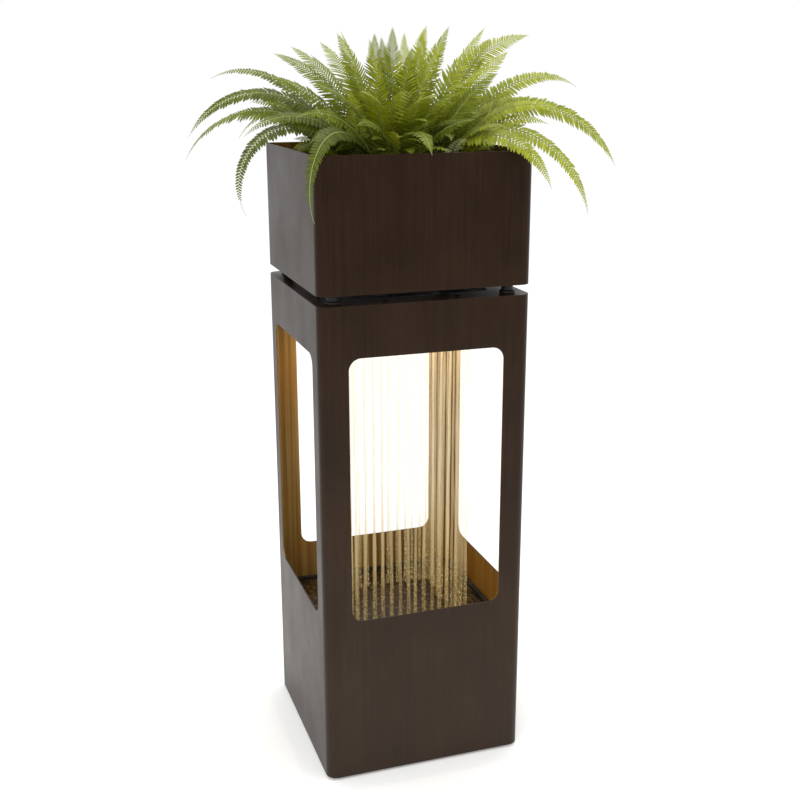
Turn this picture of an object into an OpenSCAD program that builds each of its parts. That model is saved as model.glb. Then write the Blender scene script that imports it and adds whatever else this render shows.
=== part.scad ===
// Lighted rain column fountain: a square sheet-metal tower with a window in each side, a water
// basin with a pump, a rain tray with nozzles and light bars under the deck, and a planter
// box with a fern standing on four standoffs. Millimetres, +Z up, floor at Z 0, front is -Y.

/* [Tower] */
// Width and depth of the tower and of the planter box
body_w = 350; // [300:1:420]
// Thickness of the sheet metal
sheet = 2; // [1:0.5:4]
// Outer radius of the vertical edges
corner_r = 18; // [8:1:40]
// Height of the tower shell
shell_h = 812; // [600:1:1000]
// Height of the foot pads under the shell
foot_h = 5; // [3:1:20]
// Diameter of a foot pad
foot_d = 20; // [12:1:40]
// Distance of the foot pads from the centre lines
foot_at = 152; // [120:1:155]
// Width of each window
window_w = 258; // [180:1:290]
// Window sill above the floor
window_z0 = 291; // [200:1:400]
// Window head above the floor
window_z1 = 735; // [600:1:760]
// Corner radius of the windows
window_r = 20; // [5:1:40]
// Width of the square hole in the deck and in the base frame
deck_open = 250; // [200:1:260]
// Thickness of the base frame plate
base_t = 3; // [2:0.5:6]

/* [Basin] */
// Height of the basin rim above the floor
basin_z1 = 224; // [180:1:270]
// Height of the inside floor of the basin
basin_z0 = 77; // [60:1:120]
// Half width of the basin inside
basin_in = 160; // [120:1:162]
// Wall thickness of the basin
basin_t = 3; // [2:0.5:5]
// Half width of the basin lip
basin_lip = 168; // [164:0.5:172]

/* [Rain tray] */
// Outer half width of the rain tray
tray_out = 138; // [120:1:145]
// Height of the underside of the tray floor
tray_z0 = 757; // [740:1:790]
// Half width of the square ring of nozzles
ring_half = 97.5; // [60:0.5:110]
// Nozzles on each side of the ring, corners counted
ring_n = 14; // [4:1:20]
// Outer diameter of a nozzle
nozzle_d = 6; // [4:0.5:10]
// Bore of a nozzle
nozzle_bore = 3; // [1:0.5:6]
// Length of a light bar
led_len = 200; // [100:1:220]
// Distance of the light bars from the centre lines
led_at = 118; // [110:1:122]
// Lights on each bar
led_n = 10; // [4:1:20]

/* [Pump and riser] */
// Distance of the riser pipe from the centre lines
riser_at = 148; // [140:0.5:150]
// Outer diameter of the riser pipe
riser_d = 14; // [10:0.5:16]
// Height of the pump axis
pump_z = 112; // [100:1:130]
// Width of the pump housing
pump_w = 90; // [70:1:120]
// Depth of the pump housing
pump_d = 60; // [40:1:80]
// Height of the pump housing
pump_h = 65; // [50:1:90]

/* [Planter] */
// Height of the standoffs
stand_h = 16; // [8:1:40]
// Diameter of the standoffs
stand_d = 25; // [15:1:35]
// Distance of the standoffs from the centre lines
stand_at = 145; // [135:1:155]
// Height of the planter box
planter_h = 208; // [120:1:300]
// Outer half width of the grow liner
liner_out = 166; // [150:1:170]
// Depth of the liner rim below the planter rim
liner_drop = 19; // [5:1:60]
// Depth of the soil edge below the planter rim
soil_drop = 30; // [10:1:80]

/* [Fern] */
// Widest part of a frond blade
frond_w = 50; // [20:1:80]
// Thickness of a frond blade
frond_t = 1.2; // [0.6:0.1:3]
// How late along its length a frond bends over
frond_bend = 1.3; // [1:0.1:2]

/* [Hidden] */
fine = 48;
half = body_w / 2;
inner = half - sheet;
inner_r = corner_r - sheet;
shell_z1 = foot_h + shell_h;
deck_z0 = shell_z1 - sheet;
tray_floor = 3;
tray_wall = 2;
tray_z1 = deck_z0;
flange_out = 150;
screw_off = 60;
screw_line = 145;
planter_z0 = shell_z1 + stand_h;
planter_z1 = planter_z0 + planter_h;
pitch = 2 * ring_half / (ring_n - 1);
led_w = 14;
led_h = 10;
pump_x = -35;
pump_face = -59;
pump_z0 = basin_z0 + 8;
pump_axis_x = -40;
vol_d = 46;
vol_t = 16;
hose_r = 45;
elbow_r = 14;
riser_top = tray_z0 + 15;
dial_x = -12;
dial_y = -92;
soil_z = planter_z1 - soil_drop;
liner_z0 = planter_z0 + sheet;
liner_z1 = planter_z1 - liner_drop;
liner_foot = 7;

bronze = [0.20, 0.15, 0.11];
dark = [0.08, 0.08, 0.08];
steel = [0.65, 0.65, 0.66];
leaf = [0.45, 0.62, 0.18];

// ---------- helpers ----------

// A rectangle a by b with corner radius r.
module rrect(a, b, r) {
  square([a - 2 * r, b], center = true);
  square([a, b - 2 * r], center = true);
  for (sx = [-1, 1], sy = [-1, 1])
    translate([sx * (a / 2 - r), sy * (b / 2 - r)])
      circle(r = r, $fn = fine);
}

// A square of half width h with corner radius r.
module rsq(h, r) {
  rrect(2 * h, 2 * h, r);
}

// A square tube with outer half width h, corner radius r, wall t, from z0 to z1.
module sq_tube(h, r, t, z0, z1) {
  translate([0, 0, z0])
    linear_extrude(z1 - z0)
      difference() {
        rsq(h, r);
        rsq(h - t, max(r - t, 0.5));
      }
}

module at_corners(d) {
  for (sx = [-1, 1], sy = [-1, 1])
    translate([sx * d, sy * d, 0])
      children();
}

// Two children on each of the four sides, a to each side of the middle, at distance d.
module at_sides(d, a) {
  for (q = [0:3], s = [-1, 1])
    rotate([0, 0, 90 * q])
      translate([s * a, -d, 0])
        children();
}

// The nozzle places: a square ring with each corner counted once.
module at_ring() {
  for (q = [0:3], i = [0:ring_n - 2])
    rotate([0, 0, 90 * q])
      translate([-ring_half + i * pitch, -ring_half, 0])
        children();
}

// A round line with eight sides along the points p.
function unit(v) = v / norm(v);
function tangent(p, i) =
  unit(i == 0 ? p[1] - p[0] : i == len(p) - 1 ? p[i] - p[i - 1]
    : unit(p[i + 1] - p[i]) + unit(p[i] - p[i - 1]));
function side_dir(t, up) = unit(cross(t, abs(t * up) > 0.95 ? [1, 0.3, 0] : up));
// The side direction is carried from point to point so that the tube never twists.
function carried(p, i, s) =
  let (t = tangent(p, i), w = s - (s * t) * t) unit(w);
function sides(p, i = 0, s = undef) =
  i == len(p) ? []
  : let (now = i == 0 ? side_dir(tangent(p, 0), [0, 0, 1]) : carried(p, i, s))
    concat([now], sides(p, i + 1, now));

module round_line(p, r, n = 10) {
  s = sides(p);
  pts = [for (i = [0:len(p) - 1], k = [0:n - 1])
    let (t = tangent(p, i), u = cross(t, s[i]), a = 360 * k / n)
    p[i] + r * (cos(a) * s[i] + sin(a) * u)];
  walls = [for (i = [0:len(p) - 2], k = [0:n - 1])
    let (a = i * n + k, b = i * n + (k + 1) % n) [a, a + n, b + n, b]];
  first = [for (k = [0:n - 1]) k];
  last = [for (k = [n - 1:-1:0]) (len(p) - 1) * n + k];
  polyhedron(pts, concat(walls, [first], [last]), convexity = 6);
}

// A pan-head screw pointing down from z, with head above and shank below.
module pan_screw(z, d, head_d, head_h, len) {
  translate([0, 0, z])
    cylinder(d = head_d, h = head_h, $fn = 24);
  translate([0, 0, z - len])
    cylinder(d = d, h = len + 0.1, $fn = 24);
}

// ---------- tower ----------

module tower_shell() {
  color(bronze)
    difference() {
      sq_tube(half, corner_r, sheet, foot_h, shell_z1);
      for (q = [0, 90])
        rotate([90, 0, q])
          translate([0, (window_z0 + window_z1) / 2, -half - 5])
            linear_extrude(2 * half + 10)
              rrect(window_w, window_z1 - window_z0, window_r);
      // cable gland hole low in the rear
      translate([100, half + 1, 40])
        rotate([90, 0, 0])
          cylinder(d = 16, h = sheet + 2, $fn = fine);
    }
}

module deck_plate() {
  color(bronze)
    difference() {
      translate([0, 0, deck_z0])
        linear_extrude(sheet)
          difference() {
            rsq(inner, inner_r);
            rsq(deck_open / 2, 18);
          }
      at_sides(screw_line, screw_off)
        translate([0, 0, deck_z0 - 1])
          cylinder(d = 4.4, h = sheet + 2, $fn = 24);
    }
}

module base_frame() {
  color(bronze)
    difference() {
      translate([0, 0, foot_h])
        linear_extrude(base_t)
          difference() {
            rsq(inner, inner_r);
            rsq(deck_open / 2, 18);
          }
      at_corners(foot_at)
        translate([0, 0, foot_h - 1])
          cylinder(d = 4, h = base_t + 2, $fn = 24);
    }
}

module foot_pads() {
  color(dark)
    at_corners(foot_at)
      difference() {
        rotate_extrude($fn = fine)
          polygon([[0, 0], [foot_d / 2 - 1, 0], [foot_d / 2, 1], [foot_d / 2, foot_h],
            [0, foot_h]]);
        translate([0, 0, -1])
          cylinder(d = 9, h = 3.4, $fn = 32);
        translate([0, 0, -1])
          cylinder(d = 4.2, h = foot_h + 2, $fn = 24);
      }
}

module foot_screws() {
  color(steel)
    at_corners(foot_at) {
      translate([0, 0, 0.6])
        cylinder(d = 8, h = 1.8, $fn = 32);
      translate([0, 0, 2.3])
        cylinder(d = 4, h = 9, $fn = 24);
    }
}

// ---------- basin ----------

module basin() {
  color([0.12, 0.12, 0.13])
    union() {
      difference() {
        translate([0, 0, basin_z0 - basin_t])
          linear_extrude(basin_z1 - basin_z0 + basin_t)
            rsq(basin_in + basin_t, 20 + basin_t);
        translate([0, 0, basin_z0])
          linear_extrude(basin_z1)
            rsq(basin_in, 20);
      }
      translate([0, 0, basin_z1 - basin_t])
        linear_extrude(basin_t)
          difference() {
            rsq(basin_lip, 28);
            rsq(basin_in + 1, 21);
          }
    }
}

// Straight tabs that the basin lip rests on, two on each side, clear of the cable corners.
module basin_ledges() {
  tab = inner - basin_in - basin_t - 0.5;
  color(bronze)
    at_sides(inner - tab / 2, 110)
      translate([-20, -tab / 2, basin_z1 - 2 * basin_t])
        cube([40, tab, basin_t]);
}

// ---------- rain tray and lights ----------

module rain_tray() {
  color([0.55, 0.55, 0.56])
    difference() {
      union() {
        sq_tube(tray_out, 20, tray_wall, tray_z0, tray_z1);
        translate([0, 0, tray_z0])
          linear_extrude(tray_floor)
            rsq(tray_out - 0.5, 19.5);
        translate([0, 0, tray_z1 - 3])
          linear_extrude(3)
            difference() {
              rsq(flange_out, 30);
              rsq(tray_out - 1, 19);
            }
      }
      at_ring()
        translate([0, 0, tray_z0 - 1])
          cylinder(d = nozzle_d, h = tray_floor + 2, $fn = 16);
      at_sides(screw_line, screw_off)
        translate([0, 0, tray_z1 - 4])
          cylinder(d = 4, h = 5, $fn = 24);
      // inlet bore through the corner wall
      rotate([0, 0, 225])
        translate([150, 0, riser_top + elbow_r])
          rotate([0, 90, 0])
            cylinder(d = 12, h = 80, center = true, $fn = 32);
    }
}

module tray_screws() {
  color(steel)
    at_sides(screw_line, screw_off)
      pan_screw(shell_z1, 4, 8, 2.2, 8);
}

module rain_nozzles() {
  color(steel)
    at_ring()
      translate([0, 0, tray_z0 - 5])
        difference() {
          cylinder(d = nozzle_d, h = 10, $fn = 16);
          translate([0, 0, -1])
            cylinder(d = nozzle_bore, h = 12, $fn = 16);
        }
}

module on_bars() {
  for (q = [0:3])
    rotate([0, 0, 90 * q])
      translate([0, -led_at, 0])
        children();
}

module led_housings() {
  color([0.75, 0.75, 0.76])
    on_bars()
      difference() {
        translate([-led_len / 2, -led_w / 2, tray_z0 - led_h])
          cube([led_len, led_w, led_h]);
        translate([-led_len / 2 + 1.5, -led_w / 2 + 1.5, tray_z0 - led_h - 1])
          cube([led_len - 3, led_w - 3, led_h - 0.5]);
        // cable ways through both ends
        translate([0, 0, tray_z0 - 5.4])
          rotate([0, 90, 0])
            cylinder(d = 4.6, h = led_len + 2, center = true, $fn = 24);
      }
}

module led_boards() {
  color([0.95, 0.85, 0.55])
    on_bars() {
      translate([-led_len / 2 + 4, -5, tray_z0 - 3.1])
        cube([led_len - 8, 10, 1.6]);
      for (i = [0:led_n - 1])
        translate([(i - (led_n - 1) / 2) * led_len / (led_n + 0.6) - 2.5, -2.5, tray_z0 - 4.1])
          cube([5, 5, 1.2]);
    }
}

module led_lenses() {
  color([1, 0.93, 0.75])
    on_bars()
      translate([-led_len / 2 + 1.5, -led_w / 2 + 1.5, tray_z0 - led_h])
        cube([led_len - 3, led_w - 3, 2]);
}

module led_cable() {
  e = led_len / 2 - 3;
  z = tray_z0 - 5.4;
  color(dark) {
    // links between neighbouring bars at three corners
    for (q = [1:3])
      rotate([0, 0, 90 * q])
        round_line([[-e, -led_at, z], [-107, -led_at, z], [-113, -116, z], [-116, -113, z],
          [-led_at, -107, z], [-led_at, -e, z]], 1.6, 8);
    // the lead from the left bar down the front-left corner to the driver box
    round_line([[-led_at, -e, z], [-led_at, -106, z], [-124, -113, 750], [-142, -118, 748],
      [-158, -124, 742], [-166, -140, 722], [-167, -156, 690], [-167, -160, 640],
      [-167, -160, 120], [-164, -156, 64], [-156, -140, 30], [-150, -100, 14],
      [-149, 60, 12], [-144, 110, 15], [-128, 136, 24], [-100, 149, 30], [-64, 149, 30]],
      2.2, 8);
  }
}

// ---------- pump and water way ----------

// The riser: an elbow at the foot turned to +Y, a straight rise, an elbow at the top turned
// to the centre. over lengthens both ends.
function riser_points(over) = concat(
  [[-riser_at, -riser_at + elbow_r + 18 + over, pump_z]],
  [for (t = [0:15:90])
    [-riser_at, -riser_at + elbow_r - elbow_r * sin(t), pump_z + elbow_r - elbow_r * cos(t)]],
  [for (t = [0:15:90])
    let (d = (elbow_r - elbow_r * cos(t)) / sqrt(2))
    [-riser_at + d, -riser_at + d, riser_top + elbow_r * sin(t)]],
  [let (d = (elbow_r + 3 + over) / sqrt(2))
    [-riser_at + d, -riser_at + d, riser_top + elbow_r]]);

module riser_pipe() {
  color([0.3, 0.3, 0.3])
    difference() {
      round_line(riser_points(0), riser_d / 2, 20);
      round_line(riser_points(2), riser_d / 2 - 2, 20);
    }
}

module riser_clips() {
  color(steel)
    for (z = [262, 480, 640])
      translate([-riser_at, -riser_at, z])
        difference() {
          union() {
            cylinder(d = riser_d + 5, h = 8, $fn = 32);
            translate([-(inner - riser_at), -3.5, 0])
              cube([inner - riser_at, 7, 8]);
          }
          translate([0, 0, -1])
            cylinder(d = riser_d + 0.2, h = 10, $fn = 32);
        }
}

module tray_inlet() {
  color([0.15, 0.15, 0.15])
    rotate([0, 0, 225])
      translate([0, 0, riser_top + elbow_r])
        rotate([0, 90, 0])
          difference() {
            union() {
              // spigot through the wall, a collar outside and a nut inside
              translate([0, 0, 152])
                cylinder(d = 11.8, h = 40.3, $fn = 32);
              translate([0, 0, 187.2])
                cylinder(d = 18, h = 2.8, $fn = 32);
              translate([0, 0, 177])
                cylinder(d = 18, h = 5.2, $fn = 6);
            }
            translate([0, 0, 150])
              cylinder(d = 8, h = 50, $fn = 32);
          }
}

module supply_hose() {
  cx = -riser_at + hose_r;
  y0 = -riser_at + elbow_r + 18 - 12;
  y1 = pump_face - vol_t / 2 - 1 - hose_r;
  color([0.1, 0.1, 0.1])
    difference() {
      hose_run(9.5, cx, y0, y1, 0);
      hose_run(7.2, cx, y0, y1, 1);
    }
}

module hose_run(r, cx, y0, y1, over) {
  translate([-riser_at, y0 - over, pump_z])
    rotate([-90, 0, 0])
      cylinder(r = r, h = y1 - y0 + over, $fn = 32);
  translate([cx, y1, pump_z])
    rotate([0, 0, 90])
      rotate_extrude(angle = 90, $fn = fine)
        translate([hose_r, 0])
          circle(r = r, $fn = 32);
  translate([cx, y1 + hose_r, pump_z])
    rotate([0, 90, 0])
      cylinder(r = r, h = 14 + over, $fn = 32);
}

module hose_clamps() {
  y0 = -riser_at + elbow_r + 18 - 12;
  color(steel) {
    translate([-riser_at, y0 + 2, pump_z])
      rotate([-90, 0, 0])
        clamp_ring();
    translate([-riser_at + hose_r + 3, pump_face - vol_t / 2 - 1, pump_z])
      rotate([0, 90, 0])
        clamp_ring();
  }
}

module clamp_ring() {
  difference() {
    union() {
      cylinder(r = 10.6, h = 8, $fn = 32);
      translate([-4, 9, 0])
        cube([8, 6, 8]);
    }
    translate([0, 0, -1])
      cylinder(r = 9.6, h = 10, $fn = 32);
  }
}

module pump_housing() {
  x0 = pump_x - pump_w / 2;
  outlet_y = pump_face - vol_t / 2 - 1;
  color([0.1, 0.1, 0.11])
    difference() {
      union() {
        translate([pump_x, pump_face - pump_d / 2, pump_z0])
          linear_extrude(pump_h)
            rrect(pump_w, pump_d, 6);
        // outlet stub
        translate([x0 - 23, outlet_y, pump_z])
          rotate([0, 90, 0])
            cylinder(d = 14, h = 30, $fn = 32);
        // cable boss
        translate([pump_x + 25, pump_face - pump_d + 12, pump_z0 + pump_h - 1])
          cylinder(d = 12, h = 9, $fn = 32);
      }
      // volute
      translate([pump_axis_x, pump_face + 1, pump_z])
        rotate([90, 0, 0])
          cylinder(d = vol_d, h = vol_t + 1, $fn = fine);
      // rotor well
      translate([pump_axis_x, pump_face - vol_t + 1, pump_z])
        rotate([90, 0, 0])
          cylinder(d = 17, h = 27, $fn = fine);
      // shaft seat
      translate([pump_axis_x, pump_face - vol_t - 25, pump_z])
        rotate([90, 0, 0])
          cylinder(d = 3, h = 5, $fn = 24);
      // outlet way
      translate([x0 - 24, outlet_y, pump_z])
        rotate([0, 90, 0])
          cylinder(d = 9, h = 50, $fn = 32);
      // dial bore
      translate([dial_x, dial_y, pump_z0 + pump_h - 12])
        cylinder(d = 6.2, h = 14, $fn = 32);
      // cable bore
      translate([pump_x + 25, pump_face - pump_d + 12, pump_z0 + pump_h - 6])
        cylinder(d = 5, h = 20, $fn = 32);
      // recess for the front cover
      translate([pump_axis_x, pump_face + 1, pump_z])
        rotate([90, 0, 0])
          cylinder(d = vol_d + 6, h = 4, $fn = fine);
    }
}

module pump_cover() {
  color([0.14, 0.14, 0.15])
    translate([pump_axis_x, pump_face - 3, pump_z])
      rotate([-90, 0, 0])
        difference() {
          union() {
            cylinder(d = vol_d + 5.6, h = 3, $fn = fine);
            cylinder(d = 8, h = 6, $fn = 32);
            difference() {
              cylinder(d = 30, h = 6, $fn = fine);
              translate([0, 0, 3])
                cylinder(d = 26, h = 4, $fn = fine);
            }
            for (a = [0:60:120])
              rotate([0, 0, a])
                translate([-14, -1.5, 2])
                  cube([28, 3, 4]);
          }
          // intake slots round the shaft boss
          for (a = [0:60:300])
            rotate([0, 0, a + 30])
              translate([8.5, 0, -1])
                cylinder(d = 6, h = 9, $fn = 24);
          translate([0, 0, -1])
            cylinder(d = 3, h = 5, $fn = 24);
        }
}

module pump_shaft() {
  color(steel)
    translate([pump_axis_x, pump_face - vol_t - 30, pump_z])
      rotate([-90, 0, 0])
        cylinder(d = 3, h = vol_t + 30 - 3 + 3.4, $fn = 24);
}

module impeller() {
  color([0.85, 0.85, 0.82])
    translate([pump_axis_x, pump_face - vol_t + 1.2, pump_z])
      rotate([-90, 0, 0])
        difference() {
          union() {
            // disc, hub and blades
            cylinder(d = 38, h = 2, $fn = fine);
            cylinder(d = 9, h = 10, $fn = 32);
            for (a = [0:60:300])
              rotate([0, 0, a])
                translate([3, -0.9, 1.5])
                  cube([16, 1.8, 7.5]);
            // magnet rotor in the well
            translate([0, 0, -23])
              cylinder(d = 15, h = 24, $fn = 32);
          }
          translate([0, 0, -25])
            cylinder(d = 3.1, h = 40, $fn = 32);
        }
}

module flow_dial() {
  z = pump_z0 + pump_h;
  color([0.75, 0.3, 0.1])
    translate([dial_x, dial_y, z]) {
      difference() {
        translate([0, 0, 0.3])
          cylinder(d = 18, h = 6, $fn = fine);
        for (a = [0:30:330])
          rotate([0, 0, a])
            translate([9.4, 0, -1])
              cylinder(d = 2, h = 9, $fn = 16);
      }
      translate([-1, 0, 6])
        cube([2, 7.5, 1.5]);
      translate([0, 0, -10])
        cylinder(d = 6, h = 11, $fn = 32);
    }
}

module suction_cups() {
  color(dark)
    for (sx = [-1, 1], sy = [-1, 1])
      translate([pump_x + sx * 32, pump_face - pump_d / 2 + sy * 18, basin_z0])
        rotate_extrude($fn = 32)
          polygon([[0, 1.5], [6, 0], [8, 0], [8, 1], [4, 4], [3, 8], [0, 8]]);
}

module pump_cable() {
  x = pump_x + 25;
  y = pump_face - pump_d + 12;
  z = pump_z0 + pump_h;
  color(dark)
    round_line([[x, y, z - 4], [x, y, z + 12], [x - 6, y - 4, z + 24], [x - 24, y - 14, z + 32],
      [-70, -130, 190], [-110, -146, 210], [-130, -152, 226], [-146, -159.5, 233],
      [-156, -164, 231], [-160, -166, 224], [-161, -167, 210], [-161, -167, 90],
      [-158, -163, 60], [-150, -148, 34], [-140, -100, 22], [-138, 60, 14],
      [-136, 100, 14], [-124, 122, 22], [-96, 136, 30], [-64, 140, 30]], 2.4, 8);
}

module cable_gland() {
  color(dark)
    translate([100, half, 40])
      rotate([-90, 0, 0])
        difference() {
          union() {
            cylinder(d = 24, h = 3, $fn = 6);
            translate([0, 0, 2])
              cylinder(d1 = 19, d2 = 14, h = 12, $fn = 32);
            translate([0, 0, -12])
              cylinder(d = 15.9, h = 13, $fn = 32);
            translate([0, 0, -sheet - 5])
              cylinder(d = 24, h = 5, $fn = 6);
          }
          translate([0, 0, -14])
            cylinder(d = 7, h = 40, $fn = 32);
        }
}

module driver_box() {
  color([0.2, 0.2, 0.21])
    translate([0, 148, foot_h + base_t])
      difference() {
        linear_extrude(38)
          rrect(128, 42, 4);
        translate([0, 0, 2])
          linear_extrude(40)
            rrect(124, 38, 2);
        // cable entries in the left end and the right end
        for (y = [-8, 1])
          translate([-60, y, 22])
            rotate([0, -90, 0])
              cylinder(d = 5, h = 10, $fn = 24);
      }
}

module driver_lid() {
  color([0.25, 0.25, 0.26])
    translate([0, 148, foot_h + base_t + 38])
      difference() {
        union() {
          linear_extrude(2.5)
            rrect(128, 42, 4);
          translate([0, 0, -3])
            linear_extrude(4)
              difference() {
                rrect(123.6, 37.6, 1.8);
                rrect(120, 34, 1.2);
              }
        }
        for (sx = [-1, 1])
          translate([sx * 54, 0, 1.5])
            cylinder(d = 6, h = 2, $fn = 24);
      }
}

// ---------- planter ----------

module planter_shell() {
  color(bronze)
    sq_tube(half, corner_r, sheet, planter_z0, planter_z1);
}

module planter_floor() {
  color(bronze)
    translate([0, 0, planter_z0])
      linear_extrude(sheet)
        difference() {
          rsq(inner, inner_r);
          at_corners(stand_at)
            circle(d = 5.2, $fn = 24);
          for (q = [0:3])
            rotate(90 * q)
              translate([90, 0])
                circle(d = 12, $fn = 32);
        }
}

module standoffs() {
  color(dark)
    at_corners(stand_at)
      translate([0, 0, shell_z1])
        difference() {
          rotate_extrude($fn = fine)
            polygon([[0, 0], [stand_d / 2 - 0.8, 0], [stand_d / 2, 0.8], [stand_d / 2, 3.5],
              [stand_d / 2 - 3, 5], [stand_d / 2 - 3, stand_h - 5], [stand_d / 2, stand_h - 3.5],
              [stand_d / 2, stand_h], [0, stand_h]]);
          translate([0, 0, 3])
            cylinder(d = 5, h = stand_h, $fn = 24);
        }
}

module standoff_screws() {
  color(steel)
    at_corners(stand_at)
      pan_screw(planter_z0 + sheet, 5, 9.5, 3, 13);
}

module grow_liner() {
  z0 = liner_z0 + liner_foot;
  color([0.1, 0.1, 0.1])
    difference() {
      union() {
        translate([0, 0, z0])
          linear_extrude(liner_z1 - z0)
            rsq(liner_out, 14);
        translate([0, 0, liner_z1 - 3])
          linear_extrude(3)
            rsq(liner_out + 4, 16);
        at_corners(105)
          translate([0, 0, liner_z0])
            cylinder(d = 30, h = liner_foot + 1, $fn = 32);
      }
      translate([0, 0, z0 + 2])
        linear_extrude(planter_h)
          rsq(liner_out - 2, 12);
      for (q = [0:3])
        rotate([0, 0, 90 * q])
          translate([60, 0, z0 - 1])
            cylinder(d = 8, h = 4, $fn = 24);
    }
}

module potting_soil() {
  z0 = liner_z0 + liner_foot + 2;
  h = liner_out - 2.2;
  color([0.12, 0.08, 0.05])
    union() {
      translate([0, 0, z0])
        linear_extrude(soil_z - z0)
          rsq(h, 11.8);
      for (i = [0:5])
        translate([0, 0, soil_z - 0.1])
          linear_extrude(1.6 * (i + 1) + 0.1)
            rsq(h * (0.98 - i * 0.05), 40);
    }
}

// ---------- fern ----------

crown_z = soil_z + 9.6;

module fern_crown() {
  color([0.3, 0.2, 0.1])
    translate([0, 0, crown_z])
      union() {
        cylinder(r1 = 92, r2 = 87, h = 3.4, $fn = 40);
        translate([0, 0, 3])
          cylinder(r1 = 64, r2 = 57, h = 2.8, $fn = 40);
        translate([0, 0, 5.4])
          cylinder(r1 = 37, r2 = 30, h = 2.8, $fn = 40);
      }
}

// One frond leaves the crown at heading az and pitch up, runs len along its curve and turns
// down by drop degrees on the way. A thin keeled blade follows the curve. Its width is held
// back to spread times its distance from the centre, so that neighbours stay apart.
frond_steps = 12;
function pitch_at(up, drop, s) = up - drop * pow(s, frond_bend);
function curve(len, up, drop, i) =
  i == 0 ? [0, 0]
  : let (e = pitch_at(up, drop, (i - 0.5) / frond_steps), d = len / frond_steps)
    curve(len, up, drop, i - 1) + [d * cos(e), d * sin(e)];
function blade_w(s, len) =
  let (w = min(frond_w, 0.2 * len))
  s < 0.12 ? 3.5 : max(1.6, w * pow(sin(180 * pow((s - 0.1) / 0.92, 0.62)), 0.8));

module frond(az, len, up, drop, r0, z0, spread) {
  n = frond_steps;
  st = [for (i = [0:n]) let (c = curve(len, up, drop, i)) [r0 + c[0], z0 + c[1]]];
  pts = [for (i = [0:n])
    let (s = i / n, w = i == n ? 1.6 : min(blade_w(s, len), spread * st[i][0]),
      e = pitch_at(up, drop, s), t = i == 0 ? 2.4 : frond_t, k = 0.12 * w)
    each [
      [st[i][0] + k * sin(e), -w / 2, st[i][1] - k * cos(e)],
      [st[i][0] - t * sin(e), 0, st[i][1] + t * cos(e)],
      [st[i][0] + k * sin(e), w / 2, st[i][1] - k * cos(e)],
      [st[i][0] + 0.4 * t * sin(e), 0, st[i][1] - 0.4 * t * cos(e)]
    ]];
  walls = [for (i = [0:n - 1], k = [0:3])
    let (a = 4 * i + k, b = 4 * i + (k + 1) % 4)
    each [[a, a + 4, b + 4], [a, b + 4, b]]];
  rotate([0, 0, az])
    polyhedron(pts, concat(walls, [[0, 1, 2, 3]], [[4 * n + 3, 4 * n + 2, 4 * n + 1, 4 * n]]),
      convexity = 8);
}

// A ring of evenly spaced fronds. Those that head sideways are longer than those that head to
// the front or the back, and every second or third one stands a little higher.
module frond_ring(count, first, len, more, up, drop, r0, z0, spread) {
  color(leaf)
    for (k = [0:count - 1])
      let (az = first + k * 360 / count)
        frond(az, len + more * pow(cos(az), 2), up + 3 * sin(137 * k), drop, r0, z0, spread);
}

module fern_fronds_inner() {
  frond_ring(9, 30, 200, 10, 80, 15, 26, crown_z + 8.8, 0.42);
}

module fern_fronds_middle() {
  frond_ring(11, 10, 200, 60, 72, 55, 52, crown_z + 6.5, 0.34);
}

module fern_fronds_outer() {
  frond_ring(14, 0, 215, 95, 46, 105, 80, crown_z + 4.2, 0.26);
}

// ---------- output ----------

tower_shell();
deck_plate();
base_frame();
foot_pads();
foot_screws();
basin();
basin_ledges();
rain_tray();
tray_screws();
rain_nozzles();
led_housings();
led_boards();
led_lenses();
led_cable();
riser_pipe();
riser_clips();
tray_inlet();
supply_hose();
hose_clamps();
pump_housing();
pump_cover();
pump_shaft();
suction_cups();
pump_cable();
cable_gland();
driver_box();
driver_lid();
impeller();
flow_dial();
planter_shell();
planter_floor();
standoffs();
standoff_screws();
grow_liner();
potting_soil();
fern_crown();
fern_fronds_inner();
fern_fronds_middle();
fern_fronds_outer();
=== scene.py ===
import bpy, math
import numpy as np
from mathutils import Vector, Matrix, noise


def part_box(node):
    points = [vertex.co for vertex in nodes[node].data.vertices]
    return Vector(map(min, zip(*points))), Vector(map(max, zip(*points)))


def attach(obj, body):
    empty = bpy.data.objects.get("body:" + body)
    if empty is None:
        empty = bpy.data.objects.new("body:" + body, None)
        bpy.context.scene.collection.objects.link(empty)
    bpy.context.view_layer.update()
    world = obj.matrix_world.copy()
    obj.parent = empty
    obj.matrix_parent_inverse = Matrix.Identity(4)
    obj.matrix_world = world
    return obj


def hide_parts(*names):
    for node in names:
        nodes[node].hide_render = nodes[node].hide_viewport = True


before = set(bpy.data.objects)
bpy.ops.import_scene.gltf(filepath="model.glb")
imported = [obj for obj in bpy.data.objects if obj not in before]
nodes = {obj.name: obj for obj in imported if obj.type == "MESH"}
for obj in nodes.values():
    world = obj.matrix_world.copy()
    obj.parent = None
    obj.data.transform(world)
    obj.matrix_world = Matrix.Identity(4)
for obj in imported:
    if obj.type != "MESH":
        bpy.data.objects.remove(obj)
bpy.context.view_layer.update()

MM = 0.001
TURN = 6.28             # one turn, for random headings and phases
GOLDEN = 2.399963       # the golden angle spreads points evenly over a disc
WATER_IOR = 1.33

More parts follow.
